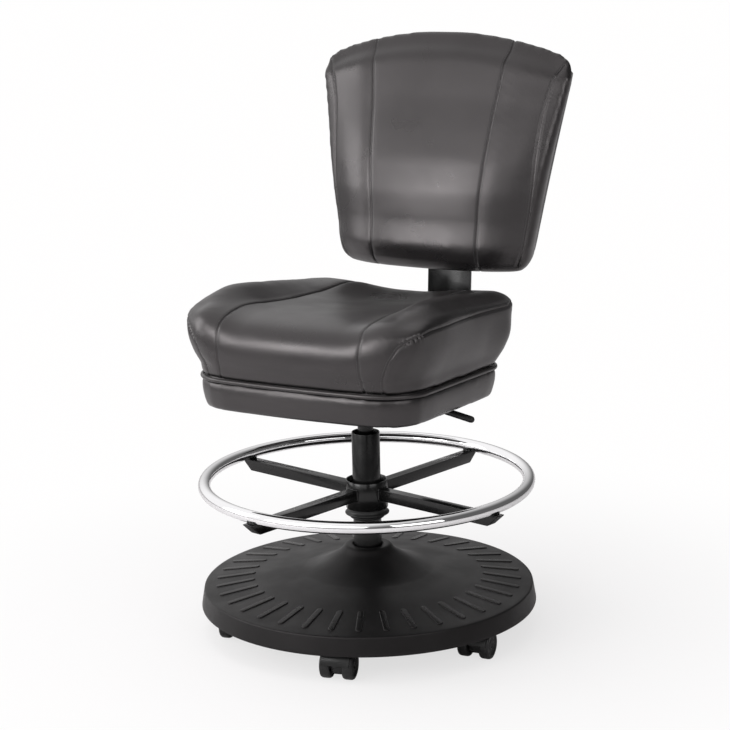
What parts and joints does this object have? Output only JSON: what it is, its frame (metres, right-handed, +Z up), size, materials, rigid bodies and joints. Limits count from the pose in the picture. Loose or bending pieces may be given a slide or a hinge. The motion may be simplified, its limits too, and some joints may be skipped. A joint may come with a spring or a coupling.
{
  "type": "swivel chair",
  "caption": "Padded swivel chair with a wide low back on a heavy round rolling base, with a gas lift, a height lever and a chrome foot ring.",
  "frame": {"origin": "centre of the bounding box on the floor", "axes": "+Z up, the sitter faces -Y, +X is the side that carries the lever"},
  "size_m": [0.5994, 0.6918, 1.0356],
  "materials": {
    "leather": "semi-matte grained upholstery with a soft broad sheen",
    "base_black": "fine textured matte black moulding",
    "painted_steel": "satin black paint",
    "cast_plate": "dull black primer",
    "bare_steel": "zinc plated",
    "chrome": "polished chrome plating",
    "nylon": "smooth black moulded plastic",
    "plywood": "plain plywood, hidden in use"
  },
  "bodies": {
    "base": {"base_cover": "base_black", "base_plate": "cast_plate", "column_socket": "cast_plate", "column_tube": "painted_steel", "column_guide_bush": "nylon"},
    "lift_rod": {"gas_spring_rod": "chrome", "thrust_bearing": "bare_steel", "retaining_clip": "bare_steel"},
    "seat": {"gas_cylinder": "painted_steel", "mechanism_plate": "painted_steel", "mechanism_bolt_1": "bare_steel", "mechanism_bolt_2": "bare_steel", "mechanism_bolt_3": "bare_steel", "mechanism_bolt_4": "bare_steel", "lever_pivot_pin": "bare_steel", "seat_board": "plywood", "seat_skirt": "leather", "seat_welt": "leather", "seat_cushion": "leather", "seat_underside_cover": "base_black", "back_bar": "painted_steel", "back_bar_bolt_1": "bare_steel", "back_bar_bolt_2": "bare_steel", "backrest_board": "plywood", "backrest_cushion": "leather", "backrest_rear_cover": "leather"},
    "lever": {"height_lever": "painted_steel", "lever_grip": "nylon"},
    "button": {"release_button": "bare_steel"},
    "foot_ring": {"footring_hub": "painted_steel", "footring_bush": "nylon", "footring_spoke_1": "painted_steel", "footring_spoke_2": "painted_steel", "footring_spoke_3": "painted_steel", "footring_spoke_4": "painted_steel", "footring_ring": "chrome"},
    "caster_1": {"caster_1_hood": "nylon", "caster_1_axle": "bare_steel"},
    "caster_1_left": {"caster_1_wheel_left": "nylon"},
    "caster_1_right": {"caster_1_wheel_right": "nylon"},
    "caster_2": {"caster_2_hood": "nylon", "caster_2_axle": "bare_steel"},
    "caster_2_left": {"caster_2_wheel_left": "nylon"},
    "caster_2_right": {"caster_2_wheel_right": "nylon"},
    "caster_3": {"caster_3_hood": "nylon", "caster_3_axle": "bare_steel"},
    "caster_3_left": {"caster_3_wheel_left": "nylon"},
    "caster_3_right": {"caster_3_wheel_right": "nylon"},
    "caster_4": {"caster_4_hood": "nylon", "caster_4_axle": "bare_steel"},
    "caster_4_left": {"caster_4_wheel_left": "nylon"},
    "caster_4_right": {"caster_4_wheel_right": "nylon"},
    "caster_5": {"caster_5_hood": "nylon", "caster_5_axle": "bare_steel"},
    "caster_5_left": {"caster_5_wheel_left": "nylon"},
    "caster_5_right": {"caster_5_wheel_right": "nylon"},
    "caster_6": {"caster_6_hood": "nylon", "caster_6_axle": "bare_steel"},
    "caster_6_left": {"caster_6_wheel_left": "nylon"},
    "caster_6_right": {"caster_6_wheel_right": "nylon"}
  },
  "joints": [
    {"name": "seat_swivel", "type": "hinge", "parent": "base", "child": "lift_rod", "pos_m": [0, -0.04618, 0.07], "axis": [0, 0, 1], "continuous": true},
    {"name": "seat_height", "type": "slide", "parent": "lift_rod", "child": "seat", "axis": [0, 0, 1], "range_m": [0, 0.11]},
    {"name": "lever_lift", "type": "hinge", "parent": "seat", "child": "lever", "pos_m": [0.038, -0.04618, 0.4344], "axis": [0, -1, 0], "range_deg": [0, 3.3], "stiffness_Nm_per_rad": 20, "springref_deg": -2.29},
    {"name": "button_press", "type": "slide", "parent": "seat", "child": "button", "axis": [0, 0, -1], "range_m": [0, 0.0025]},
    {"name": "footring_height", "type": "slide", "parent": "base", "child": "foot_ring", "axis": [0, 0, 1], "range_m": [-0.03, 0.06]},
    {"name": "caster_1_swivel", "type": "hinge", "parent": "base", "child": "caster_1", "pos_m": [0.0786, -0.28666, 0.07], "axis": [0, 0, 1], "continuous": true},
    {"name": "caster_1_left_roll", "type": "hinge", "parent": "caster_1", "child": "caster_1_left", "pos_m": [0.08234, -0.30427, 0.02462], "axis": [0.9781, 0.2079, 0], "continuous": true},
    {"name": "caster_1_right_roll", "type": "hinge", "parent": "caster_1", "child": "caster_1_right", "pos_m": [0.08234, -0.30427, 0.02462], "axis": [0.9781, 0.2079, 0], "continuous": true},
    {"name": "caster_2_swivel", "type": "hinge", "parent": "base", "child": "caster_2", "pos_m": [0.24756, -0.09835, 0.07], "axis": [0, 0, 1], "continuous": true},
    {"name": "caster_2_left_roll", "type": "hinge", "parent": "caster_2", "child": "caster_2_left", "pos_m": [0.24882, -0.11631, 0.02462], "axis": [0.9976, 0.0698, 0], "continuous": true},
    {"name": "caster_2_right_roll", "type": "hinge", "parent": "caster_2", "child": "caster_2_right", "pos_m": [0.24882, -0.11631, 0.02462], "axis": [0.9976, 0.0698, 0], "continuous": true},
    {"name": "caster_3_swivel", "type": "hinge", "parent": "base", "child": "caster_3", "pos_m": [0.16896, 0.14213, 0.07], "axis": [0, 0, 1], "continuous": true},
    {"name": "caster_3_left_roll", "type": "hinge", "parent": "caster_3", "child": "caster_3_left", "pos_m": [0.17796, 0.15772, 0.02462], "axis": [-0.866, 0.5, 0], "continuous": true},
    {"name": "caster_3_right_roll", "type": "hinge", "parent": "caster_3", "child": "caster_3_right", "pos_m": [0.17796, 0.15772, 0.02462], "axis": [-0.866, 0.5, 0], "continuous": true},
    {"name": "caster_4_swivel", "type": "hinge", "parent": "base", "child": "caster_4", "pos_m": [-0.0786, 0.1943, 0.07], "axis": [0, 0, 1], "continuous": true},
    {"name": "caster_4_left_roll", "type": "hinge", "parent": "caster_4", "child": "caster_4_left", "pos_m": [-0.06703, 0.18051, 0.02462], "axis": [0.766, 0.6428, 0], "continuous": true},
    {"name": "caster_4_right_roll", "type": "hinge", "parent": "caster_4", "child": "caster_4_right", "pos_m": [-0.06703, 0.18051, 0.02462], "axis": [0.766, 0.6428, 0], "continuous": true},
    {"name": "caster_5_swivel", "type": "hinge", "parent": "base", "child": "caster_5", "pos_m": [-0.24756, 0.00599, 0.07], "axis": [0, 0, 1], "continuous": true},
    {"name": "caster_5_left_roll", "type": "hinge", "parent": "caster_5", "child": "caster_5_left", "pos_m": [-0.25372, 0.0229, 0.02462], "axis": [-0.9397, -0.342, 0], "continuous": true},
    {"name": "caster_5_right_roll", "type": "hinge", "parent": "caster_5", "child": "caster_5_right", "pos_m": [-0.25372, 0.0229, 0.02462], "axis": [-0.9397, -0.342, 0], "continuous": true},
    {"name": "caster_6_swivel", "type": "hinge", "parent": "base", "child": "caster_6", "pos_m": [-0.16896, -0.23449, 0.07], "axis": [0, 0, 1], "continuous": true},
    {"name": "caster_6_left_roll", "type": "hinge", "parent": "caster_6", "child": "caster_6_left", "pos_m": [-0.1724, -0.21682, 0.02462], "axis": [-0.9816, -0.1908, 0], "continuous": true},
    {"name": "caster_6_right_roll", "type": "hinge", "parent": "caster_6", "child": "caster_6_right", "pos_m": [-0.1724, -0.21682, 0.02462], "axis": [-0.9816, -0.1908, 0], "continuous": true}
  ],
  "couplings": [
    {"joint": "button_press", "follows": "lever_lift", "m_per_rad": 0.038}
  ]
}
